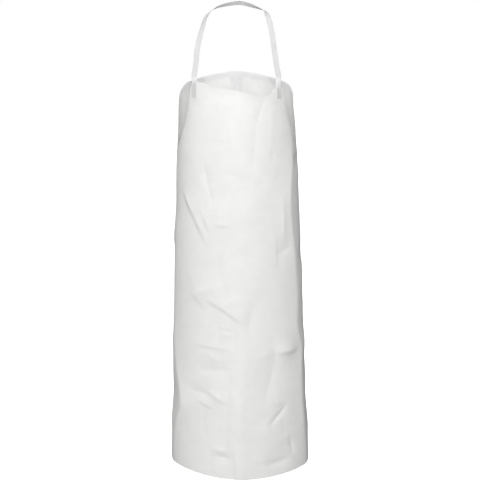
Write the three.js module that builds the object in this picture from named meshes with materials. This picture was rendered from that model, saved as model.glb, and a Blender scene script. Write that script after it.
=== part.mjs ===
// A long white butcher's apron of coated film, in millimetres with +Z up.
// A front panel with a bib carries one neck loop of flat tape, and two back panels
// are joined to it along the side seams and meet at the centre of the back.
// The origin is the middle of the neck loop, where it rests on the neck.
// -Y is the front of the apron, and left is -X.
import * as THREE from 'three';

// Driving dimensions
const BIB_CORNER_Z = -231;
const TOP_HALF_WIDTH = 164;      // half of the width at the bib's corners
const TOP_HALF_DEPTH = 112;
const WIDTH_FLARE = 0.0315;      // growth of the half width for each millimetre down
const DEPTH_FLARE = 0.024;
const HEM_Z_SIDE = -1303;        // hem at the side seams and at the back
const HEM_DIP = 27;              // how much lower the hem is at the centre of the front
const BIB_SHIFT = -10;           // how far the bib hangs to the left, against the hem
const BIB_CENTRE_Z = -240;
const BIB_SAG = 20;              // how much lower the bib's edge is between the straps than at them
const SHEET = 1.0;               // thickness of a panel
const LAYER = 0.8;               // thickness of hems, facings, strips and patches
const GAP = 0.5;                 // clearance between one layer and the next
const EDGE_GAP = 0.4;            // how far a hem stays inside its panel's edge
const HEM_WIDTH = 16;
const ARMHOLE_HEM_WIDTH = 13;
const BACK_ARMHOLE_HEM_WIDTH = 11;
const BOTTOM_HEM_WIDTH = 22;
const HEM_CLEARANCE = 2;         // room between the end of one strip and the next strip

// Places round the body are angles in degrees: 0 at the front, 90 at a side seam, 180 at the back.
const BIB_CORNER_ANGLE = 51;
const SEAM_ANGLE = 90;
const BACK_ANGLE = 180;
const SEAM_CLEARANCE = 0.15;     // degrees kept free on each side of a seam
const STRIP_CLEARANCE = 0.2;     // more degrees kept free by the strips that end at a seam
const STRAP_ANGLE = 45;
const ARMHOLE_BOTTOM_Z = -420;
const SEAM_STRIP_ANGLE = 4.4;
const FACING_ANGLE = 6;
const FACING_TOP_Z = -212;
const PANEL_ROWS = 8;

// Neck strap
const STRAP_WIDTH = 15;
const STRAP_THICKNESS = 1.0;
const STRAP_BASE_Z = -205;
const STRAP_TAB_LENGTH = 56;
const STRAP_HINGE_GAP = 1.6;
const STRAP_STEPS = 64;
const STRAP_PATCH_Z = [-228, -274];
const STRAP_PATCH_OFFSETS = [-8, -4, 0, 3];
const BARTACK_WIDTH = 10.5;
const BARTACK_HEIGHT = 3;
const BARTACK_FROM_END = 9;
const BARTACK_GAP = 0.3;

// Waist
const WAIST_Z = -640;
const TIE_PATCH_SIZE = 44;
const TIE_PATCH_FROM_EDGE = 2;   // degrees between the patch and the back edge

const material = (colour, roughness) =>
  new THREE.MeshStandardMaterial({ color: colour, roughness, metalness: 0 });
const film = material(0xefefed, 0.45);
const hemFilm = material(0xe9e9e6, 0.5);
const patchFilm = material(0xe6e6e4, 0.5);
const tape = material(0xe6e6e4, 0.7);
const thread = material(0xf2f2f0, 0.8);

const apron = new THREE.Group();
apron.name = 'butcher_apron';

function add(name, geometry, look) {
  const mesh = new THREE.Mesh(geometry, look);
  mesh.name = name;
  apron.add(mesh);
}

const radians = THREE.MathUtils.degToRad;
const { lerp } = THREE.MathUtils;

// Evenly spaced values from one to another, ends included.
const spaced = (from, to, steps) => Array.from({ length: steps + 1 }, (_, i) => lerp(from, to, i / steps));

const halfWidth = (z) => TOP_HALF_WIDTH + (BIB_CORNER_Z - z) * WIDTH_FLARE;
const halfDepth = (z) => TOP_HALF_DEPTH + (BIB_CORNER_Z - z) * DEPTH_FLARE;
const shift = (z) => (BIB_SHIFT * (z - HEM_Z_SIDE)) / (BIB_CORNER_Z - HEM_Z_SIDE);

// A point of the body surface, moved inwards by inset.
function onBody(angle, z, inset = 0) {
  const x = shift(z) + (halfWidth(z) - inset) * Math.sin(radians(angle));
  const y = -(halfDepth(z) - inset) * Math.cos(radians(angle));
  return new THREE.Vector3(x, y, z);
}

// Millimetres round the body for one degree at a place.
function arcPerDegree(angle, z) {
  return onBody(angle + 0.5, z).distanceTo(onBody(angle - 0.5, z));
}

// A closed solid from rows of outer and inner points, both of the same layout.
function solidFromGrids(outer, inner) {
  const rows = outer.length;
  const columns = outer[0].length;
  const positions = [...outer.flat(), ...inner.flat()].flatMap((p) => [p.x, p.y, p.z]);
  const last = columns - 1;
  const front = (i, j) => i * columns + j;
  const back = (i, j) => rows * columns + i * columns + j;
  const index = [];
  const quad = (a, b, c, d) => index.push(a, b, c, a, c, d);
  for (let i = 0; i < rows - 1; i += 1) {
    for (let j = 0; j < columns - 1; j += 1) {
      quad(front(i, j), front(i + 1, j), front(i + 1, j + 1), front(i, j + 1));
      quad(back(i, j), back(i, j + 1), back(i + 1, j + 1), back(i + 1, j));
    }
    quad(front(i, 0), back(i, 0), back(i + 1, 0), front(i + 1, 0));
    quad(front(i, last), front(i + 1, last), back(i + 1, last), back(i, last));
  }
  for (let j = 0; j < columns - 1; j += 1) {
    quad(front(0, j), front(0, j + 1), back(0, j + 1), back(0, j));
    quad(front(rows - 1, j), back(rows - 1, j), back(rows - 1, j + 1), front(rows - 1, j + 1));
  }
  const geometry = new THREE.BufferGeometry();
  geometry.setAttribute('position', new THREE.Float32BufferAttribute(positions, 3));
  geometry.setIndex(index);
  geometry.computeVertexNormals();
  return geometry;
}

// A sheet that follows the body, between two insets. Each row is a list of { angle, z }
// with the angle growing. side is 1 on the right and -1 for its mirror image on the left.
function bodySheet(rows, outerInset, thickness, side = 1) {
  const placed = rows.map((row) => {
    const points = row.map(({ angle, z }) => ({ angle: angle * side, z }));
    return side > 0 ? points : points.reverse();
  });
  const layer = (inset) => placed.map((row) => row.map(({ angle, z }) => onBody(angle, z, inset)));
  return solidFromGrids(layer(outerInset), layer(outerInset + thickness));
}

// A flat tape from a list of { centre, across, normal }.
function tapeSolid(stations, width, thickness) {
  const layer = (offset) => stations.map(({ centre, across, normal }) => [-1, 0, 1].map((s) =>
    centre.clone().addScaledVector(across, s * width / 2).addScaledVector(normal, offset)));
  return solidFromGrids(layer(-thickness / 2), layer(thickness / 2));
}

// Edge lines in { angle, z }, for the right half of the apron
const plane = ([angle, z]) => new THREE.Vector2(angle, z);
const curve = (points) => new THREE.CubicBezierCurve(...points.map(plane));
const samples = (path, count) => path.getPoints(count).map((p) => ({ angle: p.x, z: p.y }));

const bibTopZ = (angle) => BIB_CENTRE_Z + BIB_SAG * (Math.abs(angle) / STRAP_ANGLE) ** 4;
const frontHemZ = (angle) => HEM_Z_SIDE - HEM_DIP * Math.cos(radians(angle)) ** 2;
const seamEdge = SEAM_ANGLE - SEAM_CLEARANCE;
const wingSeamEdge = SEAM_ANGLE + SEAM_CLEARANCE;
const backEdge = BACK_ANGLE - SEAM_CLEARANCE;

const frontArmhole = curve([
  [BIB_CORNER_ANGLE, BIB_CORNER_Z], [54, -330], [68, -395], [seamEdge, ARMHOLE_BOTTOM_Z],
]);
const backArmhole = curve([[wingSeamEdge, ARMHOLE_BOTTOM_Z], [98, -400], [98, -330], [99, -290]]);
const backShoulder = curve([[99, -290], [100, -240], [115, -225], [130, -217]]);
const backArch = curve([[130, -217], [145, -208], [165, -192], [backEdge, -192]]);

const bibHalf = spaced(0, BIB_CORNER_ANGLE - 4, 10).map((angle) => ({ angle, z: bibTopZ(angle) }));
const bibCorner = { angle: BIB_CORNER_ANGLE - 1.5, z: BIB_CORNER_Z + 5 };
const bibTopRight = [...bibHalf, bibCorner];
const armholeRight = samples(frontArmhole, 10);
const frontTopRight = [...bibTopRight, ...armholeRight];
const rightOf = (line) => line.filter(({ angle }) => angle > 0);
const mirrored = (line) => rightOf(line).map(({ angle, z }) => ({ angle: -angle, z })).reverse();
const frontTop = [...mirrored(frontTopRight), ...frontTopRight];

const wingArmhole = samples(backArmhole, 6);
const wingShoulder = samples(backShoulder, 6);
const wingArch = samples(backArch, 7);
const wingTop = [...wingArmhole, ...wingShoulder.slice(1), ...wingArch.slice(1)];

// Rows between an upper line and a lower height for each of its angles.
function rowsDown(topLine, bottomZ) {
  return spaced(0, 1, PANEL_ROWS).map((t) => topLine.map(({ angle, z }) => (
    { angle, z: lerp(z, bottomZ(angle), t) })));
}

// Rows of a band: the same angles at each height.
const band = (angles, heights) => heights.map((z) => angles.map((angle) => ({ angle, z })));

// The line that runs a width away from an edge line, on the panel's side of it.
function inside(line, width) {
  return line.map(({ angle, z }, i) => {
    const before = line[Math.max(i - 1, 0)];
    const after = line[Math.min(i + 1, line.length - 1)];
    const scale = arcPerDegree(angle, z);
    const along = new THREE.Vector2((after.angle - before.angle) * scale, after.z - before.z);
    along.normalize();
    return { angle: angle + (along.y * width) / scale, z: z - along.x * width };
  });
}

const stripAlong = (line, width) => [inside(line, EDGE_GAP), inside(line, width)];
const hemInset = SHEET + GAP;
const patchInset = hemInset + LAYER + GAP;

// A strip of film on the inside of a panel.
function addStrip(name, rows, look, side = 1) {
  add(name, bodySheet(rows, hemInset, LAYER, side), look);
}

function addFront() {
  add('front_panel', bodySheet(rowsDown(frontTop, frontHemZ), 0, SHEET), film);
  const bibLine = [...mirrored(bibHalf), ...bibHalf];
  const betweenStraps = bibLine.filter(({ angle }) => Math.abs(angle) < STRAP_ANGLE - 1);
  addStrip('bib_top_hem', stripAlong(betweenStraps, HEM_WIDTH), hemFilm);
  const hemEnd = seamEdge - STRIP_CLEARANCE;
  const hemAngles = spaced(-hemEnd, hemEnd, 28);
  const hemRow = (rise) => hemAngles.map((angle) => ({ angle, z: frontHemZ(angle) + rise }));
  addStrip('front_bottom_hem', [hemRow(BOTTOM_HEM_WIDTH), hemRow(EDGE_GAP)], hemFilm);
}

function addFrontSide(side, prefix) {
  const armholeLine = armholeRight.slice(0, -1);
  addStrip(`${prefix}_armhole_hem`, stripAlong(armholeLine, ARMHOLE_HEM_WIDTH), hemFilm, side);
  const seamTopZ = ARMHOLE_BOTTOM_Z - HEM_WIDTH - HEM_CLEARANCE;
  const seamEndZ = HEM_Z_SIDE + BOTTOM_HEM_WIDTH + HEM_CLEARANCE;
  const seamAngles = spaced(seamEdge - SEAM_STRIP_ANGLE, seamEdge - STRIP_CLEARANCE, 2);
  addStrip(`${prefix}_side_seam`, band(seamAngles, spaced(seamTopZ, seamEndZ, 4)), patchFilm, side);
  const patch = band(STRAP_PATCH_OFFSETS.map((offset) => STRAP_ANGLE + offset), STRAP_PATCH_Z);
  add(`${prefix}_strap_patch`, bodySheet(patch, patchInset, LAYER, side), patchFilm);
}

// The strap's fixed end lies on the bib and turns square to the front above its top edge.
function addStrapEnd(side, prefix) {
  const turn = new THREE.Vector3(1, 0, 0);
  const tangent = onBody(STRAP_ANGLE + 1, BIB_CORNER_Z).sub(onBody(STRAP_ANGLE - 1, BIB_CORNER_Z));
  tangent.normalize();
  const tabTopZ = STRAP_BASE_Z - STRAP_HINGE_GAP;
  const lift = GAP + STRAP_THICKNESS / 2;
  const station = (z, twist) => {
    const across = tangent.clone().lerp(turn, twist).normalize();
    const normal = new THREE.Vector3(-across.y, across.x, 0);
    const centre = twist > 0 ? strapFoot(side) : onBody(STRAP_ANGLE * side, z, -lift);
    centre.z = z;
    across.y *= side;
    normal.x *= side;
    return { centre, across, normal };
  };
  const stations = [
    station(tabTopZ, 1), station(tabTopZ - 5, 0.6), station(tabTopZ - 11, 0),
    station(tabTopZ - 30, 0), station(tabTopZ - STRAP_TAB_LENGTH, 0),
  ];
  add(`${prefix}_strap_end`, tapeSolid(stations, STRAP_WIDTH, STRAP_THICKNESS), tape);
  const tackLift = lift + STRAP_THICKNESS / 2 + BARTACK_GAP + LAYER / 2;
  const tack = (z) => ({ ...station(z, 0), centre: onBody(STRAP_ANGLE * side, z, -tackLift) });
  const tackZ = tabTopZ - STRAP_TAB_LENGTH + BARTACK_FROM_END;
  const tacks = [tack(tackZ + BARTACK_HEIGHT / 2), tack(tackZ - BARTACK_HEIGHT / 2)];
  add(`${prefix}_strap_bartack`, tapeSolid(tacks, BARTACK_WIDTH, LAYER), thread);
}

// The point where the strap leaves the bib, in the plane of the tape.
function strapFoot(side) {
  return onBody(STRAP_ANGLE * side, BIB_CORNER_Z, -GAP - STRAP_THICKNESS / 2).setZ(STRAP_BASE_Z);
}

// The loop climbs from each foot, leans back over the shoulder and passes behind the neck.
// Each row holds a point of the tape's middle line and the direction its inner face looks in.
function addNeckStrap() {
  const route = [
    { at: strapFoot(-1).toArray(), faces: [0, 1, 0] },
    { at: [-123, -78, -175], faces: [0, 1, 0] },
    { at: [-117.5, -72, -123], faces: [0, 1, -0.1] },
    { at: [-105, -57, -71.5], faces: [0.35, 0.75, -0.45] },
    { at: [-96.5, -46, -44], faces: [0.45, 0.5, -0.7] },
    { at: [-83, -33, -23.5], faces: [0.4, 0.05, -0.9] },
    { at: [-62, -18, -11], faces: [0.15, -0.42, -0.9] },
    { at: [-34, -5, -3.5], faces: [0.05, -0.64, -0.76] },
    { at: [0, 0.3, 0.4], faces: [0, -0.74, -0.67] },
    { at: [22, -3, -4], faces: [0, -0.7, -0.7] },
    { at: [46, -12, -12], faces: [-0.1, -0.5, -0.85] },
    { at: [70, -27, -23], faces: [-0.4, 0.15, -0.85] },
    { at: [79.5, -41, -44], faces: [-0.12, 0.9, -0.4] },
    { at: [86, -55, -71.5], faces: [0, 1, -0.15] },
    { at: [94, -70, -123], faces: [0, 1, -0.05] },
    { at: [101.5, -77, -175], faces: [0, 1, 0] },
    { at: strapFoot(1).toArray(), faces: [0, 1, 0] },
  ];
  const line = new THREE.CatmullRomCurve3(route.map(({ at }) => new THREE.Vector3(...at)));
  const facing = new THREE.CatmullRomCurve3(route.map(({ faces }) => new THREE.Vector3(...faces)));
  const stations = spaced(0, 1, STRAP_STEPS).map((t) => {
    const centre = line.getPoint(t);
    const ahead = line.getTangent(t);
    const normal = facing.getPoint(t);
    normal.addScaledVector(ahead, -normal.dot(ahead)).normalize();
    const across = ahead.clone().cross(normal).normalize();
    if (t === 0 || t === 1) {
      across.set(-1, 0, 0);
      normal.set(0, 1, 0);
    }
    return { centre, across, normal };
  });
  add('neck_strap', tapeSolid(stations, STRAP_WIDTH, STRAP_THICKNESS), tape);
}

function addWing(side, prefix) {
  const panel = rowsDown(wingTop, () => HEM_Z_SIDE);
  add(`${prefix}_back_panel`, bodySheet(panel, 0, SHEET, side), film);
  const archLine = [...wingShoulder.slice(2), ...wingArch.slice(1, -1)];
  addStrip(`${prefix}_back_top_hem`, stripAlong(archLine, HEM_WIDTH), hemFilm, side);
  const armLine = [...wingArmhole.slice(1), ...wingShoulder.slice(1, 2)];
  addStrip(`${prefix}_back_armhole_hem`, stripAlong(armLine, BACK_ARMHOLE_HEM_WIDTH), hemFilm, side);
  const facingEdge = backEdge - STRIP_CLEARANCE;
  const facingEndZ = HEM_Z_SIDE + BOTTOM_HEM_WIDTH + HEM_CLEARANCE;
  const facingAngles = spaced(facingEdge - FACING_ANGLE, facingEdge, 2);
  const facing = band(facingAngles, spaced(FACING_TOP_Z, facingEndZ, 5));
  addStrip(`${prefix}_back_edge_facing`, facing, hemFilm, side);
  const hemAngles = spaced(wingSeamEdge + STRIP_CLEARANCE, facingEdge, 14);
  const hem = band(hemAngles, [HEM_Z_SIDE + BOTTOM_HEM_WIDTH, HEM_Z_SIDE + EDGE_GAP]);
  addStrip(`${prefix}_back_bottom_hem`, hem, hemFilm, side);
  const patchEdge = backEdge - TIE_PATCH_FROM_EDGE;
  const patchSpan = TIE_PATCH_SIZE / arcPerDegree(BACK_ANGLE, WAIST_Z);
  const patchHeights = [WAIST_Z + TIE_PATCH_SIZE / 2, WAIST_Z - TIE_PATCH_SIZE / 2];
  const patch = band(spaced(patchEdge - patchSpan, patchEdge, 2), patchHeights);
  add(`${prefix}_tie_patch`, bodySheet(patch, -LAYER - GAP, LAYER, side), patchFilm);
}

addFront();
addNeckStrap();
[[-1, 'left'], [1, 'right']].forEach(([side, prefix]) => {
  addFrontSide(side, prefix);
  addStrapEnd(side, prefix);
  addWing(side, prefix);
});

export default apron;
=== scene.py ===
import math
import random

import bpy
import numpy as np
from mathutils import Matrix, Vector, noise


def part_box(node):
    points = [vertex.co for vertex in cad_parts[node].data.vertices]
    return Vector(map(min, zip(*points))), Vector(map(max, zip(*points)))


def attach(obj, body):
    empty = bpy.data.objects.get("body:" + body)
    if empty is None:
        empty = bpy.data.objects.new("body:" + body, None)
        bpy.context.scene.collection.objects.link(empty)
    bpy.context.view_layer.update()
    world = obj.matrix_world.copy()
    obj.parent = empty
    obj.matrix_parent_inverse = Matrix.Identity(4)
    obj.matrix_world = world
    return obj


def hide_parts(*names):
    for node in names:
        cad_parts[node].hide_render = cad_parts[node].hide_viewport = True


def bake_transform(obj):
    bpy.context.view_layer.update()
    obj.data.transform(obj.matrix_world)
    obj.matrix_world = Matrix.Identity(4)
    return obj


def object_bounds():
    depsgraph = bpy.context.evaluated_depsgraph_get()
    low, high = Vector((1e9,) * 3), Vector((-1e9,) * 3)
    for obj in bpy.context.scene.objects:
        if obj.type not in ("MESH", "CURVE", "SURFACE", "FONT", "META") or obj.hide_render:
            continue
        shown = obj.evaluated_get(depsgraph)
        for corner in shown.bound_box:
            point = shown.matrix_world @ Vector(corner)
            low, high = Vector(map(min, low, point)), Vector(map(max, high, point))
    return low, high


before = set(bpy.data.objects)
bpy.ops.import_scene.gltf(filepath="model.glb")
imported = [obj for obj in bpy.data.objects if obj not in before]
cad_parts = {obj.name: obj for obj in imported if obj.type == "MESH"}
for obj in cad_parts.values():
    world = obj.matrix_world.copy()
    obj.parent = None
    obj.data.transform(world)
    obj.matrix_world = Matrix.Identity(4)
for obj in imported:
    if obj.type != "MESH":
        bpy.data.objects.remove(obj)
cad_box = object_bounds()

# ---------------------------------------------------------------------------------------
# Camera. It stands level with the neck loop, a long way off, and looks a little down, so
# the hem's front edge shows as a bow and the inside of the back shows over the bib.
CAMERA_PLACE = Vector((0.0, -4.60, -0.05))
CAMERA_TILT = math.radians(7.65)
CAMERA_LENS = 122.2

camera_data = bpy.data.cameras.new("camera")
camera_data.lens = CAMERA_LENS
camera_data.sensor_width = 36.0
camera_data.clip_end = 100.0
camera = bpy.data.objects.new("camera", camera_data)
camera.location = CAMERA_PLACE
camera.rotation_euler = (math.radians(90.0) - CAMERA_TILT, 0.0, 0.0)
bpy.context.scene.collection.objects.link(camera)
bpy.context.scene.camera = camera

# ---------------------------------------------------------------------------------------
# The shape that the film hangs in. It is an oval tube that widens towards the hem and
# hangs a little to one side at the bib. A place on it is an angle in degrees, 0 at the
# front, 90 at the right side seam and 180 at the back, and a height.
BIB_Z = -0.231
HEM_Z = -1.303
BIB_HALF_WIDTH = 0.164
BIB_HALF_DEPTH = 0.112
WIDTH_FLARE = 0.0315
DEPTH_FLARE = 0.024
BIB_SHIFT = -0.010
SIDE_ANGLE = 90.0
BACK_ANGLE = 180.0


def oval(z):
    """Half width, half depth and sideways shift of the tube at a height."""
    drop = BIB_Z - z
    shift = BIB_SHIFT * (z - HEM_Z) / (BIB_Z - HEM_Z)
    return BIB_HALF_WIDTH + drop * WIDTH_FLARE, BIB_HALF_DEPTH + drop * DEPTH_FLARE, shift


def on_tube(angle, z, lift=0.0):
    """Points of the smooth tube, moved outwards by lift."""
    wide, deep, shift = oval(z)
    turn = np.radians(angle)
    side = deep * np.sin(turn)
    ahead = -wide * np.cos(turn)
    length = np.hypot(side, ahead)
    x = shift + wide * np.sin(turn) + lift * side / length
    y = -deep * np.cos(turn) + lift * ahead / length
    return np.stack([x, y, np.broadcast_to(z, np.shape(x))], axis=-1)


GIRTH_STEPS = np.linspace(-185.0, 185.0, 741)
girth_points = on_tube(GIRTH_STEPS, -0.75)
girth_gaps = np.linalg.norm(np.diff(girth_points, axis=0), axis=1)
girth = np.concatenate([[0.0], np.cumsum(girth_gaps)])
girth = girth - np.interp(0.0, GIRTH_STEPS, girth)


def round_body(angle):
    """Metres round the tube from the middle of the front."""
    return np.interp(angle, GIRTH_STEPS, girth)


def seen_at(x, z):
    """Metres round the tube of the front's point that lies at x."""
    wide, _, shift = oval(z)
    return float(round_body(math.degrees(math.asin(max(-0.999, min(0.999, (x - shift) / wide))))))


# Folds of the hanging film. A fold runs from one point to another, each (x, z) as seen
# from the front. It has a height, positive outwards, and a half width. A crest is a rounded
# ridge or valley, and a lip is a sharp step where the film has been creased over. All the
# heights are multiplied by FOLD_STANDING.
FOLD_STANDING = 1.35
FRONT_FOLDS = [
    ("crest", (0.066, -0.262), (0.046, -0.330), -0.0015, 0.012),
    ("crest", (0.046, -0.330), (0.034, -0.460), -0.0014, 0.018),
    ("crest", (0.088, -0.300), (0.086, -0.420), 0.0012, 0.020),
    ("lip", (-0.078, -0.377), (-0.036, -0.380), 0.0007, 0.006),
    ("crest", (0.088, -0.408), (0.092, -0.440), -0.0012, 0.010),
    ("crest", (0.060, -0.480), (0.068, -0.510), -0.0008, 0.013),
    ("crest", (-0.100, -0.450), (-0.090, -0.500), -0.0018, 0.015),
    ("crest", (-0.090, -0.495), (-0.077, -0.555), -0.0018, 0.014),
    ("lip", (-0.156, -0.530), (-0.137, -0.580), 0.0030, 0.006),
    ("lip", (-0.137, -0.575), (-0.100, -0.655), 0.0026, 0.007),
    ("lip", (-0.110, -0.575), (-0.088, -0.628), 0.0018, 0.006),
    ("lip", (-0.080, -0.586), (-0.040, -0.590), 0.0008, 0.006),
    ("lip", (-0.070, -0.614), (-0.034, -0.616), 0.0018, 0.005),
    ("crest", (0.118, -0.540), (0.121, -0.650), 0.0026, 0.014),
    ("crest", (0.014, -0.655), (0.015, -0.680), 0.0008, 0.006),
    ("lip", (0.103, -0.660), (0.105, -0.712), -0.0020, 0.005),
    ("crest", (0.113, -0.690), (0.135, -0.680), -0.0020, 0.008),
    ("crest", (-0.128, -0.808), (-0.064, -0.782), 0.0024, 0.018),
    ("lip", (-0.130, -0.812), (-0.100, -0.846), 0.0014, 0.009),
    ("lip", (-0.088, -0.826), (-0.048, -0.850), 0.0026, 0.007),
    ("lip", (-0.052, -0.846), (-0.002, -0.884), 0.0028, 0.006),
    ("crest", (-0.042, -0.786), (-0.040, -0.824), -0.0013, 0.007),
    ("crest", (-0.037, -0.834), (-0.006, -0.812), 0.0014, 0.010),
    ("lip", (-0.056, -0.900), (-0.024, -0.904), 0.0014, 0.006),
    ("crest", (-0.048, -0.918), (-0.022, -0.922), 0.0014, 0.009),
    ("crest", (0.032, -0.838), (0.026, -0.925), -0.0020, 0.014),
    ("lip", (-0.118, -0.954), (-0.036, -0.962), 0.0020, 0.005),
    ("crest", (-0.096, -0.972), (-0.060, -0.993), 0.0014, 0.010),
    ("crest", (-0.104, -1.022), (-0.036, -1.018), -0.0026, 0.018),
    ("lip", (0.108, -0.978), (0.160, -0.970), 0.0026, 0.009),
    ("crest", (0.108, -0.975), (0.150, -0.968), 0.0040, 0.026),
    ("crest", (0.046, -0.986), (0.086, -0.972), 0.0014, 0.011),
    ("crest", (0.100, -0.985), (0.070, -1.110), -0.0030, 0.024),
    ("crest", (-0.028, -1.040), (-0.034, -1.090), -0.0014, 0.009),
    ("crest", (0.003, -1.062), (0.004, -1.088), 0.0010, 0.006),
    ("crest", (-0.140, -1.080), (-0.080, -1.092), -0.0034, 0.020),
    ("lip", (-0.116, -1.112), (-0.080, -1.130), 0.0022, 0.008),
    ("crest", (-0.086, -1.082), (-0.046, -1.108), 0.0028, 0.010),
    ("crest", (0.088, -1.174), (0.130, -1.126), -0.0032, 0.006),
    ("crest", (0.100, -1.132), (0.128, -1.120), -0.0014, 0.006),
    ("lip", (-0.022, -1.100), (-0.034, -1.250), 0.0026, 0.012),
    ("crest", (-0.102, -1.140), (-0.102, -1.205), -0.0012, 0.012),
    ("crest", (-0.078, -1.244), (-0.040, -1.250), 0.0026, 0.009),
    ("crest", (-0.064, -1.266), (-0.030, -1.268), -0.0026, 0.009),
    ("lip", (0.040, -1.282), (0.074, -1.284), 0.0014, 0.007),
    ("crest", (0.082, -1.292), (0.136, -1.280), -0.0036, 0.014),
    ("crest", (0.142, -1.222), (0.150, -1.262), -0.0030, 0.011),
    ("crest", (0.058, -1.185), (0.110, -1.235), 0.0024, 0.020),
    ("lip", (-0.018, -1.240), (-0.013, -1.335), 0.0026, 0.006),
    ("crest", (0.010, -0.780), (0.006, -1.120), 0.0030, 0.045),
    ("crest", (0.006, -1.020), (0.004, -1.460), 0.0065, 0.052),
]

# Larger dents where the film stands off the side seams: angle, height, depth, and the half
# size round the body and up and down.
SIDE_DENTS = [
    (76.0, -0.435, -0.0036, 0.020, 0.018),
    (80.0, -0.475, 0.0018, 0.018, 0.020),
    (82.0, -0.700, -0.0036, 0.020, 0.024),
    (84.0, -0.760, 0.0018, 0.020, 0.040),
    (80.0, -0.950, 0.0022, 0.022, 0.028),
    (80.0, -1.010, -0.0030, 0.020, 0.024),
    (-82.0, -0.560, -0.0024, 0.020, 0.040),
    (-80.0, -0.940, 0.0018, 0.018, 0.050),
    (-82.0, -1.100, -0.0042, 0.022, 0.034),
    (-84.0, -1.180, 0.0018, 0.020, 0.030),
    (86.0, -1.120, -0.0024, 0.022, 0.050),
    (128.0, -0.420, -0.0030, 0.050, 0.060),
    (150.0, -0.650, 0.0024, 0.040, 0.090),
    (-132.0, -0.520, -0.0030, 0.050, 0.080),
    (-150.0, -0.900, 0.0027, 0.045, 0.100),
    (140.0, -1.050, -0.0033, 0.050, 0.080),
    (-120.0, -1.180, -0.0027, 0.050, 0.060),
]

# Long creases down both sides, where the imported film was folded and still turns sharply:
# height, angle and how far the crease stands out.
SIDE_CREASES = [
    [(-0.42, -78.0, 0.0010), (-0.60, -76.0, 0.0030), (-0.90, -74.0, 0.0040), (-1.02, -68.0, 0.0050),
     (-1.09, -59.0, 0.0065), (-1.13, -58.0, 0.0065), (-1.18, -66.0, 0.0050), (-1.24, -72.0, 0.0035),
     (-1.31, -74.0, 0.0020)],
    [(-0.38, 64.0, 0.0020), (-0.44, 62.0, 0.0050), (-0.52, 57.0, 0.0060), (-0.60, 56.0, 0.0065),
     (-0.68, 60.0, 0.0060), (-0.80, 63.0, 0.0055), (-0.92, 62.0, 0.0060), (-0.97, 68.0, 0.0065),
     (-1.05, 65.0, 0.0070), (-1.15, 66.0, 0.0065), (-1.31, 72.0, 0.0025)],
]
SIDE_CREASE_WIDTH = 0.022
BACK_CALM = 5.0

CRUMPLE_SIZE = 0.060
CRUMPLE_HEIGHT = 0.00035
CRUMPLE_SEED = 11.3
CRUMPLE_OCTAVES = ((1.0, 1.0), (2.3, 0.42), (5.1, 0.16))

# Creases left by packing and handling, all over the film: seeded places, low and long.
HANDLING_SEED = 618
HANDLING_CREASES = 130
HANDLING_LENGTH = (0.05, 0.16)
HANDLING_WIDTH = (0.010, 0.026)
HANDLING_HEIGHT = 0.0034
FRONT_CALM = 0.32


def fold_height(kind, across, along, length, height, width):
    """Height of one fold: across is the distance from its line, along the way along it."""
    taper = np.clip((along / length + 0.2) / 1.4, 0.0, 1.0)
    fade = np.sin(np.pi * taper)
    reach = across / width
    if kind == "crest":
        return height * fade * np.exp(0.12 - np.sqrt(reach ** 2 + 0.0144))
    step = 0.5 + 0.5 * np.tanh(2.0 * reach)
    return height * fade * step * np.exp(-np.maximum(reach, 0.0) / 5.0)


def crumple(s, z):
    """Low creased relief of handled film: sharp where the noise changes sign."""
    total = np.zeros(s.shape)
    for octave, share in CRUMPLE_OCTAVES:
        scale = octave / CRUMPLE_SIZE
        values = [noise.noise((a * scale, b * scale * 0.8, CRUMPLE_SEED * octave))
                  for a, b in zip(s.ravel(), z.ravel())]
        total += share * (0.3 - np.abs(np.array(values).reshape(s.shape)))
    calm = [0.5 + 0.5 * noise.noise((a * 5.0, b * 4.0, CRUMPLE_SEED + 40.0))
            for a, b in zip(s.ravel(), z.ravel())]
    return CRUMPLE_HEIGHT * total * np.clip(np.array(calm).reshape(s.shape) * 1.6, 0.25, 1.3)


creases = []
for kind, start, end, height, width in FRONT_FOLDS:
    creases.append((kind, (seen_at(*start), start[1]), (seen_at(*end), end[1]),
                    height * FOLD_STANDING, width))
handling = random.Random(HANDLING_SEED)
for _ in range(HANDLING_CREASES):
    middle_round = handling.uniform(float(girth[0]), float(girth[-1]))
    middle_z = handling.uniform(HEM_Z, BIB_Z)
    lean = handling.gauss(math.pi / 2, 0.6)
    half = handling.uniform(*HANDLING_LENGTH) / 2
    reach = (half * math.cos(lean), half * math.sin(lean))
    height = handling.choice((-1, 1)) * handling.uniform(0.4, 1.0) * HANDLING_HEIGHT
    if abs(middle_round) < girth[-1] / 2:
        height *= FRONT_CALM
    creases.append(("crest", (middle_round - reach[0], middle_z - reach[1]),
                    (middle_round + reach[0], middle_z + reach[1]), height,
                    handling.uniform(*HANDLING_WIDTH)))


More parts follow.
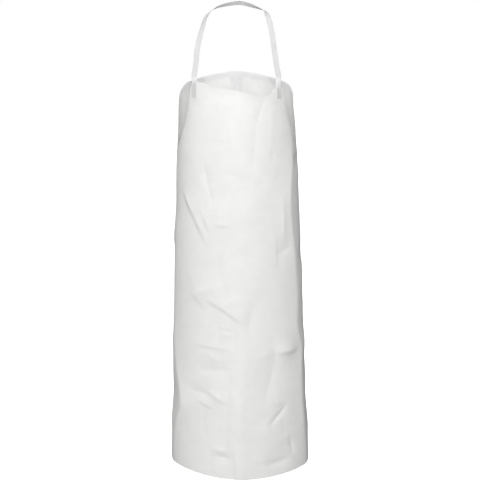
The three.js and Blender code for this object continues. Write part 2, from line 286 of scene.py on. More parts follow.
def relief(angle, z):
    """How far the hanging film stands out from the smooth tube, in metres."""
    s = round_body(angle)
    lifted = crumple(s, z)
    for kind, start, end, height, width in creases:
        line = np.array([end[0] - start[0], end[1] - start[1]])
        length = float(np.hypot(*line))
        way = line / length
        along = (s - start[0]) * way[0] + (z - start[1]) * way[1]
        across = (z - start[1]) * way[0] - (s - start[0]) * way[1]
        lifted = lifted + fold_height(kind, across, along, length, height, width)
    for dent_angle, dent_z, depth, half_round, half_up in SIDE_DENTS:
        gap = (s - round_body(dent_angle)) / half_round
        rise = (z - dent_z) / half_up
        lifted = lifted + depth * np.exp(-gap ** 2 - rise ** 2)
    for line in SIDE_CREASES:
        crease_angle = smooth_line([(-h, a) for h, a, _ in line], -z)
        height = smooth_line([(-h, tall) for h, _, tall in line], -z)
        gap = (s - round_body(crease_angle)) / SIDE_CREASE_WIDTH
        lifted = lifted + height * np.exp(0.2 - np.sqrt(gap ** 2 + 0.04))
    edge = (np.abs(angle) - BACK_ANGLE) / BACK_CALM
    return lifted * (1.0 - np.exp(-edge ** 2))


def smooth_line(points, where):
    """A smooth curve through (position, value) points, read at many positions."""
    at = np.array([p[0] for p in points], dtype=float)
    value = np.array([p[1] for p in points], dtype=float)
    slope = np.gradient(value, at)
    where = np.asarray(where, dtype=float)
    i = np.clip(np.searchsorted(at, where) - 1, 0, len(at) - 2)
    span = at[i + 1] - at[i]
    t = np.clip((where - at[i]) / span, 0.0, 1.0)
    start = (1 + 2 * t) * (1 - t) ** 2 * value[i] + t * (1 - t) ** 2 * span * slope[i]
    end = t * t * (3 - 2 * t) * value[i + 1] + t * t * (t - 1) * span * slope[i + 1]
    return start + end


def deselect_all():
    bpy.ops.object.select_all(action="DESELECT")


SMOOTH_ANGLE = math.radians(50.0)


def finish_modifiers(piece):
    """Applies the piece's modifiers in order and shades it smooth."""
    deselect_all()
    bpy.context.view_layer.objects.active = piece
    piece.select_set(True)
    for modifier in list(piece.modifiers):
        bpy.ops.object.modifier_apply(modifier=modifier.name)
    bpy.ops.object.shade_smooth_by_angle(angle=SMOOTH_ANGLE)


def sheet_of_points(name, points, flat):
    """A grid of quads through rows of points, with a map of its flat size in metres.
    Row 0 is the upper edge, and the faces look outwards when the columns run rightwards."""
    rows, columns = points.shape[:2]
    deselect_all()
    bpy.ops.mesh.primitive_grid_add(x_subdivisions=columns - 1, y_subdivisions=rows - 1, size=2.0)
    piece = bpy.context.object
    piece.name = name
    piece.data.name = name
    mesh = piece.data
    where = np.empty(len(mesh.vertices) * 3)
    mesh.vertices.foreach_get("co", where)
    where = where.reshape(-1, 3)
    column = np.rint((where[:, 0] + 1) / 2 * (columns - 1)).astype(int)
    row = np.rint((1 - where[:, 1]) / 2 * (rows - 1)).astype(int)
    mesh.vertices.foreach_set("co", points[row, column].ravel())
    corners = np.empty(len(mesh.loops), dtype=int)
    mesh.loops.foreach_get("vertex_index", corners)
    mesh.uv_layers[0].name = "flat"
    mesh.uv_layers[0].data.foreach_set("uv", flat[row, column][corners].ravel())
    mesh.update()
    return piece


FILM_THICKNESS = 0.0005


def lay_film(name, angle, z, depth=0.0):
    """A piece of film on the hanging shape, depth below its outer face."""
    lifted = relief(angle, z) - depth
    points = on_tube(angle, z, lifted)
    flat = np.stack([round_body(angle), z], axis=-1)
    piece = sheet_of_points(name, points, flat)
    wall = piece.modifiers.new("thickness", "SOLIDIFY")
    wall.thickness = FILM_THICKNESS
    wall.offset = -1.0
    finish_modifiers(piece)
    return piece


# ---------------------------------------------------------------------------------------
# Neck strap. One length of flat woven tape, 15 mm wide. Its two ends lie on the face of
# the bib, and the loop between them climbs over the shoulders and passes behind the neck,
# turning from face on at the bib to edge on at the shoulder.
STRAP_WIDTH = 0.015
STRAP_THICKNESS = 0.0009
STRAP_ANGLE = 45.0
STRAP_END_Z = -0.2600
STRAP_REST_GAP = 0.0003
STRAP_STEP = 0.0028
TAPE_CROWN = 0.0002
TAPE_EDGE = 0.00025
strap_lift = STRAP_REST_GAP + STRAP_THICKNESS / 2


def strap_on_bib(side, z):
    """A point of the strap's end where it lies on the bib, with the way its inner face looks."""
    angle = np.array(STRAP_ANGLE * side)
    height = np.array(z)
    lift = strap_lift + relief(np.array([angle]), np.array([height]))[0]
    spot = on_tube(angle, height, lift)
    inward = on_tube(angle, height, -1.0) - on_tube(angle, height, 0.0)
    return [float(v) for v in spot], [float(v) for v in inward]


TAB_HEIGHTS = (STRAP_END_Z, -0.248, -0.236, -0.225)
LOOP_ROUTE = [
    ((-0.1267, -0.0799, -0.2050), (0.25, 0.95, 0.0)),
    ((-0.1230, -0.0780, -0.1750), (0.0, 1.0, 0.0)),
    ((-0.1175, -0.0720, -0.1230), (0.0, 1.0, -0.1)),
    ((-0.1050, -0.0570, -0.0715), (0.35, 0.75, -0.45)),
    ((-0.0965, -0.0460, -0.0440), (0.45, 0.5, -0.7)),
    ((-0.0830, -0.0330, -0.0235), (0.40, 0.05, -0.9)),
    ((-0.0620, -0.0180, -0.0110), (0.15, -0.42, -0.9)),
    ((-0.0340, -0.0050, -0.0035), (0.05, -0.64, -0.76)),
    ((0.0000, 0.0003, 0.0004), (0.0, -0.74, -0.67)),
    ((0.0220, -0.0030, -0.0040), (0.0, -0.70, -0.70)),
    ((0.0460, -0.0120, -0.0120), (-0.1, -0.50, -0.85)),
    ((0.0700, -0.0270, -0.0230), (-0.4, 0.15, -0.85)),
    ((0.0795, -0.0410, -0.0440), (-0.12, 0.9, -0.4)),
    ((0.0860, -0.0550, -0.0715), (0.0, 1.0, -0.15)),
    ((0.0940, -0.0700, -0.1230), (0.0, 1.0, -0.05)),
    ((0.1015, -0.0770, -0.1750), (0.0, 1.0, 0.0)),
    ((0.1067, -0.0799, -0.2050), (-0.25, 0.95, 0.0)),
]
route = [strap_on_bib(-1, z) for z in TAB_HEIGHTS]
route += [(list(at), list(faces)) for at, faces in LOOP_ROUTE]
route += [strap_on_bib(1, z) for z in reversed(TAB_HEIGHTS)]
stops = np.array([at for at, _ in route])
travel = np.concatenate([[0.0], np.cumsum(np.linalg.norm(np.diff(stops, axis=0), axis=1))])
STRAP_LENGTH = float(travel[-1])
stations = np.linspace(0.0, STRAP_LENGTH, int(STRAP_LENGTH / STRAP_STEP))
looks = np.array([faces for _, faces in route])


def along_strap(values):
    """The route's values, read smoothly at each station of the tape."""
    return np.stack([smooth_line(list(zip(travel, values[:, k])), stations) for k in range(3)],
                    axis=-1)


centre = along_strap(stops)
inner = along_strap(looks)
ahead = np.gradient(centre, axis=0)
ahead /= np.linalg.norm(ahead, axis=1)[:, None]
inner -= ahead * np.sum(inner * ahead, axis=1)[:, None]
inner /= np.linalg.norm(inner, axis=1)[:, None]
across_tape = np.cross(ahead, inner)
TAPE_COLUMNS = np.linspace(-0.5, 0.5, 9)
tape_points = np.stack([centre + across_tape * (STRAP_WIDTH * c)
                        - inner * (TAPE_CROWN * (1 - (2 * c) ** 2)) for c in TAPE_COLUMNS], axis=1)
tape_grid = (len(stations), len(TAPE_COLUMNS))
tape_flat = np.stack([np.broadcast_to(TAPE_COLUMNS * STRAP_WIDTH, tape_grid),
                      np.broadcast_to(stations[:, None], tape_grid)], axis=-1)
strap = sheet_of_points("neck_strap_tape", tape_points, tape_flat)
deselect_all()
strap.select_set(True)
bpy.context.view_layer.objects.active = strap
bpy.ops.object.mode_set(mode="EDIT")
bpy.ops.mesh.select_all(action="SELECT")
bpy.ops.mesh.flip_normals()
bpy.ops.object.mode_set(mode="OBJECT")
wall = strap.modifiers.new("thickness", "SOLIDIFY")
wall.thickness = STRAP_THICKNESS
wall.offset = 0.0
rounding = strap.modifiers.new("soft_edges", "BEVEL")
rounding.width = TAPE_EDGE
rounding.segments = 2
rounding.limit_method = "ANGLE"
rounding.angle_limit = SMOOTH_ANGLE
finish_modifiers(strap)
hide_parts("neck_strap", "left_strap_end", "right_strap_end")
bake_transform(strap)


def linear(code):
    """A linear colour from an sRGB hex code, fully opaque."""
    parts = [int(code[i:i + 2], 16) / 255.0 for i in (0, 2, 4)]
    return [p / 12.92 if p <= 0.04045 else ((p + 0.055) / 1.055) ** 2.4 for p in parts] + [1.0]


def add_node(tree, kind, inputs=None, **settings):
    """Adds a node with its settings, and gives each named input its value or link."""
    made = tree.nodes.new(kind)
    for name, value in settings.items():
        setattr(made, name, value)
    for name, value in (inputs or {}).items():
        if isinstance(value, bpy.types.NodeSocket):
            tree.links.new(value, made.inputs[name])
        else:
            made.inputs[name].default_value = value
    return made


def new_material(name):
    """An empty node material with one surface shader, joined to its output."""
    material = bpy.data.materials.new(name)
    material.use_nodes = True
    tree = material.node_tree
    tree.nodes.clear()
    shader = add_node(tree, "ShaderNodeBsdfPrincipled")
    add_node(tree, "ShaderNodeOutputMaterial", {"Surface": shader.outputs["BSDF"]})
    return material, tree, shader


def between(tree, value, low, high, to_low, to_high):
    """Maps a value from one range to another, held at its ends."""
    made = add_node(tree, "ShaderNodeMapRange", {
        "Value": value, "From Min": low, "From Max": high, "To Min": to_low, "To Max": to_high})
    return made.outputs["Result"]


# Woven polyester tape: greyish white threads, about 0.5 mm apart. The ribs are drawn 1.2 mm
# apart so that they show. It looks matt, with soft ribs across, and lets some light through.
# Its two ends on the bib are painted lighter: painted light that lifts the shade they fall in.
TAPE_GLOW = 0.7
TAPE_GLOW_REACH = 0.004
PAINTED_LIGHT_LENGTH = 0.050
PAINTED_LIGHT_FADE = 0.010
TAPE_RIB = 0.0012
tape_look, tree, shader = new_material("woven_polyester_tape")
place = add_node(tree, "ShaderNodeUVMap", uv_map="flat")
ribs = add_node(tree, "ShaderNodeTexWave", {
    "Vector": place.outputs["UV"], "Scale": math.pi / (10.0 * TAPE_RIB), "Distortion": 0.6,
    "Detail": 1.0, "Detail Scale": 4.0}, wave_type="BANDS", bands_direction="Y")
cords = add_node(tree, "ShaderNodeTexWave", {
    "Vector": place.outputs["UV"], "Scale": math.pi / (10.0 * TAPE_RIB * 1.5)},
    wave_type="BANDS", bands_direction="X")
weave = add_node(tree, "ShaderNodeMath", {0: ribs.outputs["Fac"], 1: cords.outputs["Fac"]},
                 operation="MULTIPLY")
raised = add_node(tree, "ShaderNodeBump", {
    "Strength": 0.12, "Distance": 0.0001, "Height": weave.outputs["Value"]})
handled = add_node(tree, "ShaderNodeTexNoise", {
    "Vector": place.outputs["UV"], "Scale": 18.0, "Detail": 2.0})
shade = add_node(tree, "ShaderNodeMix", {
    "Factor": between(tree, handled.outputs["Fac"], 0.35, 0.7, 0.0, 1.0),
    "A": linear("d9d9d9"), "B": linear("d4d4d4")}, data_type="RGBA")
run = add_node(tree, "ShaderNodeSeparateXYZ", {"Vector": place.outputs["UV"]})
past_middle = add_node(tree, "ShaderNodeMath", {0: run.outputs["Y"], 1: STRAP_LENGTH / 2},
                       operation="SUBTRACT")
off_middle = add_node(tree, "ShaderNodeMath", {0: past_middle.outputs["Value"]},
                      operation="ABSOLUTE")
# Painted light: the mask of the tape's two ends on the bib, which are mixed towards a lighter
# white.
crease_cells_and_painted_light_mask = between(tree, off_middle.outputs["Value"],
                  STRAP_LENGTH / 2 - PAINTED_LIGHT_LENGTH - PAINTED_LIGHT_FADE,
                  STRAP_LENGTH / 2 - PAINTED_LIGHT_LENGTH, 0.0, 1.0)
painted_light_ends = add_node(tree, "ShaderNodeMix", {
    "Factor": crease_cells_and_painted_light_mask, "A": shade.outputs["Result"], "B": linear("f0f0f0")}, data_type="RGBA")
tree.links.new(painted_light_ends.outputs["Result"], shader.inputs["Base Color"])
tree.links.new(raised.outputs["Normal"], shader.inputs["Normal"])
matt = between(tree, weave.outputs["Value"], 0.0, 1.0, 0.82, 0.62)
tree.links.new(matt, shader.inputs["Roughness"])
shader.inputs["IOR"].default_value = 1.53
shader.inputs["Sheen Weight"].default_value = 0.08
shader.inputs["Sheen Roughness"].default_value = 0.5
shader.inputs["Subsurface Weight"].default_value = TAPE_GLOW
shader.inputs["Subsurface Radius"].default_value = (1.0, 1.0, 1.0)
shader.inputs["Subsurface Scale"].default_value = TAPE_GLOW_REACH
strap.data.materials.clear()
strap.data.materials.append(tape_look)

# ---------------------------------------------------------------------------------------
# Film. White polyethylene laid on a fine spunbond, about 0.2 mm thick on the real apron. It
# is satin, with a grain of pressed fibres, faint clouds, and a low crumple from handling.
# The hem_distance attribute gives the metres from the nearest hemmed edge, and two heat
# sealed lines run along the hem there.
HEM_WIDTH = 0.016
SEAL_LINE = 0.0009
FIBRE = 0.0009
CLOUD = 0.035
FILM_GLOW = 0.22
FILM_GLOW_REACH = 0.0015


def film_material(name, bright, dull, rough, sealed):
    """Satin film in two close shades, with the hem's seal lines where it is sealed."""
    material, tree, shader = new_material(name)
    place = add_node(tree, "ShaderNodeUVMap", uv_map="flat")
    clouds = add_node(tree, "ShaderNodeTexNoise", {
        "Vector": place.outputs["UV"], "Scale": 1.0 / CLOUD, "Detail": 4.0, "Roughness": 0.55})
    stretched = add_node(tree, "ShaderNodeMapping", {
        "Vector": place.outputs["UV"], "Scale": (1.0, 0.35, 1.0), "Rotation": (0.0, 0.0, 0.5)})
    fibres = add_node(tree, "ShaderNodeTexNoise", {
        "Vector": stretched.outputs["Vector"], "Scale": 1.0 / FIBRE, "Detail": 2.0})
    crease_cells_and_painted_light_mask = add_node(tree, "ShaderNodeTexVoronoi", {
        "Vector": place.outputs["UV"], "Scale": 45.0, "Randomness": 1.0},
        feature="DISTANCE_TO_EDGE")
    shade = add_node(tree, "ShaderNodeMix", {
        "Factor": between(tree, clouds.outputs["Fac"], 0.35, 0.65, 0.0, 1.0),
        "A": linear(bright), "B": linear(dull)}, data_type="RGBA")
    grain = add_node(tree, "ShaderNodeBump", {
        "Strength": 0.25, "Distance": 0.00012, "Height": fibres.outputs["Fac"]})
    creased = add_node(tree, "ShaderNodeBump", {
        "Strength": 0.12, "Distance": 0.0006, "Normal": grain.outputs["Normal"],
        "Height": between(tree, crease_cells_and_painted_light_mask.outputs["Distance"], 0.0, 0.12, 0.0, 1.0)})
    colour, normal = shade.outputs["Result"], creased.outputs["Normal"]
    if sealed:
        edge = add_node(tree, "ShaderNodeAttribute", attribute_name="hem_distance")
        line = None
        for place_of_line in (0.0030, HEM_WIDTH - 0.0022):
            off = add_node(tree, "ShaderNodeMath", {0: edge.outputs["Fac"], 1: place_of_line},
                           operation="SUBTRACT")
            far = add_node(tree, "ShaderNodeMath", {0: off.outputs["Value"]}, operation="ABSOLUTE")
            near = between(tree, far.outputs["Value"], 0.0, SEAL_LINE, 1.0, 0.0)
            line = near if line is None else add_node(
                tree, "ShaderNodeMath", {0: line, 1: near}, operation="MAXIMUM").outputs["Value"]
        sunk = add_node(tree, "ShaderNodeBump", {
            "Strength": 0.5, "Distance": 0.0002, "Height": line, "Normal": normal}, invert=True)
        tinted = add_node(tree, "ShaderNodeMix", {
            "Factor": between(tree, line, 0.0, 1.0, 0.0, 0.15), "A": colour, "B": linear("dcdcdc")},
            data_type="RGBA")
        colour, normal = tinted.outputs["Result"], sunk.outputs["Normal"]
    tree.links.new(colour, shader.inputs["Base Color"])
    tree.links.new(normal, shader.inputs["Normal"])
    satin = between(tree, clouds.outputs["Fac"], 0.3, 0.7, rough - 0.05, rough + 0.07)
    tree.links.new(satin, shader.inputs["Roughness"])
    shader.inputs["IOR"].default_value = 1.51
    shader.inputs["Subsurface Weight"].default_value = FILM_GLOW
    shader.inputs["Subsurface Radius"].default_value = (1.0, 1.0, 1.0)
    shader.inputs["Subsurface Scale"].default_value = FILM_GLOW_REACH
    return material


panel_film = film_material("satin_polyethylene_film", "f5f5f3", "f2f2f0", 0.40, sealed=True)
hem_film = film_material("folded_hem_film", "f3f3f3", "efefef", 0.50, sealed=False)
patch_film = film_material("reinforcing_film", "f1f1f1", "ececec", 0.55, sealed=False)


def give_look(piece, material):
    """Puts one material on a piece."""
    piece.data.materials.clear()
    piece.data.materials.append(material)


# ---------------------------------------------------------------------------------------
# Front panel. One sheet of film from side seam to side seam. Its top is the bib, which
# sags between the strap's ends, and a scooped armhole runs from each corner of the bib to
# the side seam. The hem is lowest at the middle.
HEM_DRAWN_UP = 0.009
HEM_DRAWN_WIDTH = 11.0
HEM_TILT = 0.003
BIB_CORNER = 51.0
BIB_LINE = [
    (-51.0, -0.2370), (-48.5, -0.2240), (-45.0, -0.2175), (-39.0, -0.2165), (-24.0, -0.2280),
    (-10.0, -0.2350), (0.0, -0.2385), (13.0, -0.2485), (25.5, -0.2560), (33.0, -0.2520),
    (39.0, -0.2400), (43.0, -0.2325), (47.0, -0.2300), (51.0, -0.2320),
]
ARMHOLE_Z = -0.420
ARMHOLE_FRONT = [(54.0, -0.330), (68.0, -0.395), (SIDE_ANGLE, ARMHOLE_Z)]
HEM_DIP = 0.027
PANEL_ROWS = 270


def bezier(start, points, count):
    """Points of a cubic curve from start through two handles to its end."""
    t = np.linspace(0.0, 1.0, count)[:, None]
    a, b, c, d = (np.array(p, dtype=float) for p in (start, *points))
    return (1 - t) ** 3 * a + 3 * t * (1 - t) ** 2 * b + 3 * t * t * (1 - t) * c + t ** 3 * d


bib_angles = np.linspace(-BIB_CORNER, BIB_CORNER, 97)
bib_top = np.stack([bib_angles, smooth_line(BIB_LINE, bib_angles)], axis=-1)
right_armhole = bezier(bib_top[-1], ARMHOLE_FRONT, 30)
left_armhole = bezier(bib_top[0], [(-a, z) for a, z in ARMHOLE_FRONT], 30)[::-1]
front_top = np.concatenate([left_armhole[:-1], bib_top, right_armhole[1:]])


def hem_height(angle):
    """Height of the lower edge all the way round. It is lowest at the middle of the front,
    drawn up a little at each side seam, and hangs slightly lower on the right."""
    turn = np.radians(angle)
    dip = HEM_DIP * np.where(np.abs(angle) < SIDE_ANGLE, np.cos(turn) ** 2, 0.0)
    drawn_up = HEM_DRAWN_UP * np.exp(-((np.abs(angle) - SIDE_ANGLE) / HEM_DRAWN_WIDTH) ** 2)
    return HEM_Z - dip - HEM_TILT * np.sin(turn) + drawn_up


def columns_down(top, bottom, rows):
    """Angles and heights of a grid whose columns run from a top line down to a lower line."""
    t = np.linspace(0.0, 1.0, rows)[:, None]
    angle = np.broadcast_to(top[:, 0], (rows, len(top)))
    return angle, top[:, 1] * (1 - t) + bottom(top[:, 0]) * t


def mark_hem_distance(piece, edges):
    """Stores each point's distance from the nearest of some edge lines of (round, height)."""
    mesh = piece.data
    corners = np.empty(len(mesh.loops), dtype=int)
    mesh.loops.foreach_get("vertex_index", corners)
    flat = np.empty(len(mesh.loops) * 2)
    mesh.uv_layers["flat"].data.foreach_get("uv", flat)
    spots = np.zeros((len(mesh.vertices), 2))
    spots[corners] = flat.reshape(-1, 2)
    nearest = np.full(len(spots), 1.0)
    for line in edges:
        for a, b in zip(line[:-1], line[1:]):
            way = b - a
            t = np.clip((spots - a) @ way / (way @ way), 0.0, 1.0)
            gap = np.linalg.norm(spots - a - t[:, None] * way, axis=1)
            nearest = np.minimum(nearest, gap)
    stored = mesh.attributes.new("hem_distance", "FLOAT", "POINT")
    stored.data.foreach_set("value", nearest)


def flat_line(line):
    """An edge line of (angle, height) as metres round the tube and height."""
    return np.stack([round_body(line[:, 0]), line[:, 1]], axis=-1)


angle, z = columns_down(front_top, hem_height, PANEL_ROWS)
front = lay_film("front_film_panel", angle, z)
hem_line = np.stack([front_top[:, 0], hem_height(front_top[:, 0])], axis=-1)
SEAM_HEIGHTS = np.linspace(ARMHOLE_Z, HEM_Z, 12)


def seam_line(angle):
    """The line of (angle, height) down one side seam."""
    return np.stack([np.full(len(SEAM_HEIGHTS), angle), SEAM_HEIGHTS], axis=-1)


front_edges = (front_top, hem_line, seam_line(-SIDE_ANGLE), seam_line(SIDE_ANGLE))
mark_hem_distance(front, [flat_line(line) for line in front_edges])
give_look(front, panel_film)
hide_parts("front_panel")
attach(front, "front")

# ---------------------------------------------------------------------------------------
# Hems of the front panel. Each is the film's own edge, folded to the inside over about
# 16 mm and heat sealed. The fold stands a little proud of the panel's edge as a soft roll.
HEM_DEPTH = FILM_THICKNESS + 0.0003
HEM_ROLL = 0.0005
HEM_ROWS = 7
ARMHOLE_HEM_WIDTH = HEM_WIDTH - 0.003
TOP_HEM_INSET = 5


def inside_line(line, width):
    """The line that runs a width away from an edge line, on its right as it is walked."""
    flat = flat_line(line)
    way = np.gradient(flat, axis=0)
    way /= np.linalg.norm(way, axis=1)[:, None]
    moved = flat + np.stack([way[:, 1], -way[:, 0]], axis=-1) * np.asarray(width).reshape(-1, 1)
    return np.stack([np.interp(moved[:, 0], girth, GIRTH_STEPS), moved[:, 1]], axis=-1)


def lay_hem(name, line, width=HEM_WIDTH):
    """A folded hem behind an edge line, walked with the panel on its right."""
    shares = np.linspace(0.0, 1.0, HEM_ROWS)
    lines = [inside_line(line, -HEM_ROLL + (width + HEM_ROLL) * share) for share in shares]
    rows = np.stack(lines)
    depth = np.full(rows.shape[:2], HEM_DEPTH)
    depth[0] = FILM_THICKNESS * 0.25
    hem = lay_film(name, rows[..., 0], rows[..., 1], depth=depth)
    give_look(hem, hem_film)
    return hem


top_line = bib_top[TOP_HEM_INSET:-TOP_HEM_INSET]
bib_hem = lay_hem("bib_top_folded_hem", top_line)
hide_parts("bib_top_hem")
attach(bib_hem, "front")
for side, line in (("left", left_armhole[1:]), ("right", right_armhole[:-1])):
    hem = lay_hem(f"{side}_armhole_folded_hem", line, ARMHOLE_HEM_WIDTH)
    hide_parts(f"{side}_armhole_hem")
    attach(hem, "front")
bottom = lay_hem("front_bottom_folded_hem", hem_line[1:-1][::-1])
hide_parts("front_bottom_hem")
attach(bottom, "front")

# ---------------------------------------------------------------------------------------
# Side seams. A strip of film is welded over the inside of each seam, from the armhole to
# the hem.
SEAM_STRIP = 3.6
STRIP_GAP = 0.0004
STRIP_DEPTH = HEM_DEPTH + FILM_THICKNESS + STRIP_GAP


def bend_with_wing(piece):
    """Bakes the transform of a piece that crosses or joins the side seam into its mesh."""
    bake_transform(piece)


for side, sign in (("left", -1), ("right", 1)):
    strip_angles = np.sort(sign * np.linspace(SIDE_ANGLE - SEAM_STRIP, SIDE_ANGLE + SEAM_STRIP, 7))
    heights = np.linspace(ARMHOLE_Z - HEM_WIDTH, HEM_Z + HEM_WIDTH + 0.004, 160)
    angle, z = np.meshgrid(strip_angles, heights)
    seam = lay_film(f"{side}_side_seam_strip", angle, z, depth=STRIP_DEPTH)
    give_look(seam, patch_film)
    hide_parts(f"{side}_side_seam")
    bend_with_wing(seam)

# ---------------------------------------------------------------------------------------
# Back panels. Each is one sheet of film from its side seam to the middle of the back. It
# rises behind the armhole to a rounded shoulder and a shallow arch across the back.
SHOULDER = [
    ((SIDE_ANGLE, ARMHOLE_Z), [(98.0, -0.400), (98.0, -0.330), (99.0, -0.290)], 14),
    ((99.0, -0.290), [(100.0, -0.240), (115.0, -0.225), (130.0, -0.217)], 18),
    ((130.0, -0.217), [(145.0, -0.208), (165.0, -0.192), (BACK_ANGLE, -0.192)], 30),
]
BACK_MEETING = 0.10
BACK_LAP = 1.6
LAP_RAMP = 1.0
BACK_ARMHOLE_HEM_WIDTH = HEM_WIDTH - 0.005
ARMHOLE_POINTS = 20
FACING_ANGLE = 6.4
FACING_EDGE_GAP = 0.05
FACING_TOP_GAP = 0.004
FACING_FOOT_GAP = 0.003
FACING_TUCK = 0.006
FACING_SINK = FILM_THICKNESS + STRIP_GAP
for side, sign in (("left", -1), ("right", 1)):
    runs = [bezier(start, points, count) for start, points, count in SHOULDER]
    top = np.concatenate([runs[0], runs[1][1:], runs[2][1:]])
    top[-1, 0] = BACK_ANGLE - BACK_MEETING
    if sign < 0:
        top = top[::-1] * np.array([-1.0, 1.0])
    angle, z = columns_down(top, hem_height, PANEL_ROWS)
    wing = lay_film(f"{side}_back_film_panel", angle, z)
    low = np.stack([angle[-1], z[-1]], axis=-1)
    back_column = 0 if sign < 0 else -1
    back_edge = np.stack([angle[:, back_column], z[:, back_column]], axis=-1)
    wing_edges = (top, low, back_edge[::8], seam_line(sign * SIDE_ANGLE))
    mark_hem_distance(wing, [flat_line(line) for line in wing_edges])
    give_look(wing, panel_film)
    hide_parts(f"{side}_back_panel")
    bend_with_wing(wing)

    # The hems and the facing of the back edge, folded inwards and sealed as on the front. The
    # facing runs under the top and bottom hems, and the left one laps under the right panel.
    arch_part = top[:-ARMHOLE_POINTS] if sign < 0 else top[ARMHOLE_POINTS:]
    arm_part = top[-ARMHOLE_POINTS:] if sign < 0 else top[:ARMHOLE_POINTS]
    names = (("back_top", arch_part[1:] if sign < 0 else arch_part[:-1], HEM_WIDTH),
             ("back_armhole", arm_part[:-1] if sign < 0 else arm_part[1:], BACK_ARMHOLE_HEM_WIDTH),
             ("back_bottom", low[1:-1][::-1], HEM_WIDTH))
    for label, line, width in names:
        hem = lay_hem(f"{side}_{label}_folded_hem", line, width)
        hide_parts(f"{side}_{label}_hem")
        bend_with_wing(hem)
    edge_heights = np.linspace(top[:, 1].max() - FACING_TOP_GAP, HEM_Z + FACING_FOOT_GAP, 153)
    inner_edge = BACK_ANGLE + (BACK_LAP if sign < 0 else -BACK_MEETING - FACING_EDGE_GAP)
    edge_angles = np.sort(sign * np.linspace(BACK_ANGLE - FACING_ANGLE, inner_edge, 13))
    angle, z = np.meshgrid(edge_angles, edge_heights)
    under_top = np.clip((z - edge_heights[0] + HEM_WIDTH + FACING_TUCK) / FACING_TUCK, 0.0, 1.0)
    under_bottom = np.clip((HEM_Z + HEM_WIDTH + FACING_TUCK - z) / FACING_TUCK, 0.0, 1.0)
    past_ramp = (np.abs(angle) - BACK_ANGLE + LAP_RAMP) / LAP_RAMP
    lapped = np.clip(past_ramp, 0.0, 1.0) * (sign < 0)
    sunk = np.maximum(np.maximum(under_top, under_bottom), lapped)
    facing = lay_film(f"{side}_back_edge_folded_facing", angle, z,
                      depth=HEM_DEPTH + FACING_SINK * sunk)
    give_look(facing, hem_film)
    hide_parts(f"{side}_back_edge_facing")
    bend_with_wing(facing)

# ---------------------------------------------------------------------------------------
# Strap patches. A square of film with rounded corners is welded inside the bib behind each
# end of the strap, so that the stitching holds in two layers.
PATCH_DEPTH = 2 * HEM_DEPTH + 0.0002
PATCH_CELLS = 15
PATCH_ROUNDING = 6.0
STRAP_PATCH_ANGLE = STRAP_ANGLE - 2.0
STRAP_PATCH_SIZE = (0.036, 0.046)
STRAP_PATCH_Z = {"left": -0.252, "right": -0.260}


def rounded_square(count, power):
    """A grid over a square with soft corners, each coordinate from -1 to 1."""
    line = np.linspace(-1.0, 1.0, count)
    x, y = np.meshgrid(line, line[::-1])
    reach = np.maximum(np.abs(x), np.abs(y))
    outline = (np.abs(x) ** power + np.abs(y) ** power) ** (1.0 / power)
    scale = np.where(outline > 0, reach / np.maximum(outline, 1e-9), 1.0)
    return x * scale, y * scale


def lay_patch(name, middle_angle, middle_z, wide, tall, depth):
    """A patch of film with soft corners, laid on the hanging shape."""
    x, y = rounded_square(PATCH_CELLS, PATCH_ROUNDING)
    middle = float(round_body(middle_angle))
    angle = np.interp(middle + x * wide / 2, girth, GIRTH_STEPS)
    patch = lay_film(name, angle, middle_z + y * tall / 2, depth=depth)
    give_look(patch, patch_film)
    return patch


for side, sign in (("left", -1), ("right", 1)):
    patch = lay_patch(f"{side}_strap_reinforcement", sign * STRAP_PATCH_ANGLE, STRAP_PATCH_Z[side],
                      *STRAP_PATCH_SIZE, PATCH_DEPTH)
    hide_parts(f"{side}_strap_patch")
    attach(patch, "front")

# ---------------------------------------------------------------------------------------
# Bartacks. Each strap end is held by a dense bar of zigzag thread across the tape near its
# raw end. Each stitch is a short, thick, rounded loop of white polyester thread.
THREAD = 0.00045
TACK_Z = (-0.2515, -0.2385)
TACK_STITCHES = 15
TACK_TALL = 0.0026
TACK_WIDE = STRAP_WIDTH * 0.78
thread_look, tree, shader = new_material("polyester_sewing_thread")
spot = add_node(tree, "ShaderNodeTexCoord")
twist = add_node(tree, "ShaderNodeTexWave", {
    "Vector": spot.outputs["Object"], "Scale": math.pi / (10.0 * 0.0006), "Distortion": 1.0},
    wave_type="BANDS", bands_direction="DIAGONAL")
ply = add_node(tree, "ShaderNodeBump", {
    "Strength": 0.5, "Distance": 0.0001, "Height": twist.outputs["Fac"]})
# Painted shade: the thread is coloured darker where its twist bands sink and lighter where they
# rise, following the bump.
painted_twist_shade = add_node(tree, "ShaderNodeMix", {
    "Factor": twist.outputs["Fac"], "A": linear("e4e4e0"), "B": linear("f6f6f4")}, data_type="RGBA")
tree.links.new(painted_twist_shade.outputs["Result"], shader.inputs["Base Color"])
tree.links.new(ply.outputs["Normal"], shader.inputs["Normal"])
shader.inputs["Roughness"].default_value = 0.55
shader.inputs["IOR"].default_value = 1.55


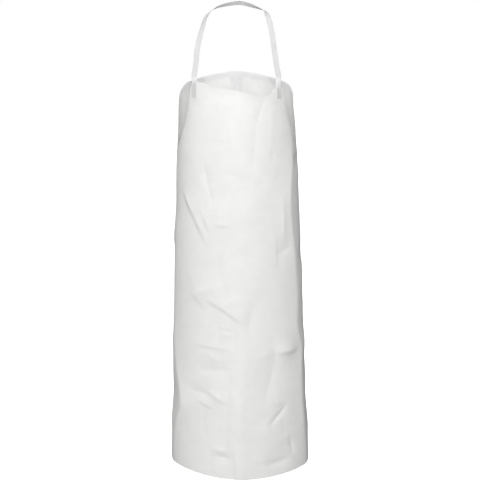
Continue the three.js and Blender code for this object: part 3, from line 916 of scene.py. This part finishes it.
def thread_loops(name, pairs, outward):
    """Stitches from pairs of ends that lie on a surface, each arching outwards."""
    rings, sides = 5, 6
    vertices, faces = [], []
    for start, end in pairs:
        start, end = Vector(start), Vector(end)
        way = (end - start).normalized()
        aside = way.cross(outward).normalized()
        first = len(vertices)
        for i in range(rings):
            t = i / (rings - 1)
            arch = outward * (THREAD * 0.9 * math.sin(math.pi * t))
            middle = start.lerp(end, t) + arch
            thick = THREAD * (0.5 if 0 < i < rings - 1 else 0.28)
            for k in range(sides):
                turn = 2 * math.pi * k / sides
                rim = aside * math.cos(turn) + outward * math.sin(turn)
                vertices.append(middle + rim * thick)
        for i in range(rings - 1):
            for k in range(sides):
                a = first + i * sides + k
                b = first + i * sides + (k + 1) % sides
                faces.append((a, b, b + sides, a + sides))
        faces.append(tuple(first + k for k in reversed(range(sides))))
        faces.append(tuple(first + (rings - 1) * sides + k for k in range(sides)))
    mesh = bpy.data.meshes.new(name)
    mesh.from_pydata([tuple(v) for v in vertices], [], faces)
    piece = bpy.data.objects.new(name, mesh)
    bpy.context.scene.collection.objects.link(piece)
    deselect_all()
    bpy.context.view_layer.objects.active = piece
    piece.select_set(True)
    bpy.ops.object.mode_set(mode="EDIT")
    bpy.ops.mesh.select_all(action="SELECT")
    bpy.ops.mesh.normals_make_consistent(inside=False)
    bpy.ops.object.mode_set(mode="OBJECT")
    bpy.ops.object.shade_smooth_by_angle(angle=math.radians(60.0))
    give_look(piece, thread_look)
    return piece


for side, sign in (("left", -1), ("right", 1)):
    pairs = []
    for tack_z in TACK_Z:
        spot, inward = strap_on_bib(sign, tack_z)
        outward = -Vector(inward).normalized()
        along = Vector((0, 0, 1)).cross(outward).normalized()
        base = Vector(spot) + outward * (STRAP_THICKNESS / 2)
        for i in range(TACK_STITCHES):
            aside = (i / (TACK_STITCHES - 1) - 0.5) * TACK_WIDE
            lean = TACK_WIDE / TACK_STITCHES / 2 * (1 if i % 2 else -1)
            low = base + along * (aside - lean) - Vector((0, 0, TACK_TALL / 2))
            high = base + along * (aside + lean) + Vector((0, 0, TACK_TALL / 2))
            pairs.append((low, high))
    tack = thread_loops(f"{side}_strap_bartack_stitches", pairs, outward)
    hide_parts(f"{side}_strap_bartack")
    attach(tack, "front")

# ---------------------------------------------------------------------------------------
# Tie patches. A soft cornered square of film is welded outside each back edge at the waist,
# where a waist tie is fastened.
TIE_PATCH = 0.044
TIE_LIFT = -(FILM_THICKNESS + 0.0003)
WAIST_Z = (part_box("right_tie_patch")[0][2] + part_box("right_tie_patch")[1][2]) / 2
for side, sign in (("left", -1), ("right", 1)):
    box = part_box(f"{side}_tie_patch")
    middle_x = (box[0][0] + box[1][0]) / 2
    wide, _, shift = oval(WAIST_Z)
    middle_angle = sign * (180.0 - math.degrees(math.asin(abs(middle_x - shift) / wide)))
    patch = lay_patch(f"{side}_tie_reinforcement", middle_angle, WAIST_Z,
                      TIE_PATCH, TIE_PATCH, TIE_LIFT)
    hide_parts(f"{side}_tie_patch")
    bend_with_wing(patch)

# ---------------------------------------------------------------------------------------
# Studio. A plain pale floor well below the hem, a soft sky that is brightest at the front, a
# large key light straight ahead, two small ones from the left and from above, and one
# from behind for the back.
FLOOR_DROP = 0.30
bpy.ops.mesh.primitive_plane_add(size=60.0, location=(0.0, 0.0, cad_box[0][2] - FLOOR_DROP))
floor = bpy.context.object
floor.name = "floor"
floor_paint, tree, shader = new_material("pale_studio_floor")
shader.inputs["Base Color"].default_value = linear("f7f7f7")
shader.inputs["Roughness"].default_value = 0.9
shader.inputs["Emission Color"].default_value = linear("ffffff")
shader.inputs["Emission Strength"].default_value = 0.9
floor.data.materials.append(floor_paint)
floor.visible_diffuse = False
floor.visible_glossy = False

SOFT_FRONT = (-0.12, -0.93, 0.34)
SOFT_EDGE = (-0.30, 0.80)
SOFT_LEVEL = (0.13, 0.70)
world = bpy.data.worlds.new("studio")
world.use_nodes = True
sky = world.node_tree
sky.nodes.clear()
way = add_node(sky, "ShaderNodeTexCoord")
facing = add_node(sky, "ShaderNodeVectorMath", {0: way.outputs["Generated"], 1: SOFT_FRONT},
                  operation="DOT_PRODUCT")
glow = between(sky, facing.outputs["Value"], *SOFT_EDGE, *SOFT_LEVEL)
sight = add_node(sky, "ShaderNodeLightPath")
strength = add_node(sky, "ShaderNodeMix", {
    "Factor": sight.outputs["Is Camera Ray"], "A": glow, "B": 1.0}, data_type="FLOAT")
studio_air = add_node(sky, "ShaderNodeBackground", {
    "Color": linear("ffffff"), "Strength": strength.outputs["Result"]})
add_node(sky, "ShaderNodeOutputWorld", {"Surface": studio_air.outputs["Background"]})
bpy.context.scene.world = world

LIGHTS = [
    ("key", (0.0, -4.8, 1.2), (1.4, 1.2), 92.0),
    ("fill", (-2.8, -2.0, 0.2), (0.8, 1.2), 6.0),
    ("top", (0.1, -0.9, 1.5), (0.8, 0.5), 7.0),
    ("back", (-1.8, 4.2, 1.3), (1.4, 1.8), 150.0),
]
TARGET = Vector((0.0, 0.0, -0.68))
for name, where, size, power in LIGHTS:
    lamp = bpy.data.lights.new(name, "AREA")
    lamp.shape = "RECTANGLE"
    lamp.size, lamp.size_y = size
    lamp.energy = power
    stand = bpy.data.objects.new(name, lamp)
    stand.location = where
    stand.rotation_euler = (TARGET - Vector(where)).to_track_quat("-Z", "Y").to_euler()
    bpy.context.scene.collection.objects.link(stand)
bpy.context.scene.view_settings.view_transform = "Standard"
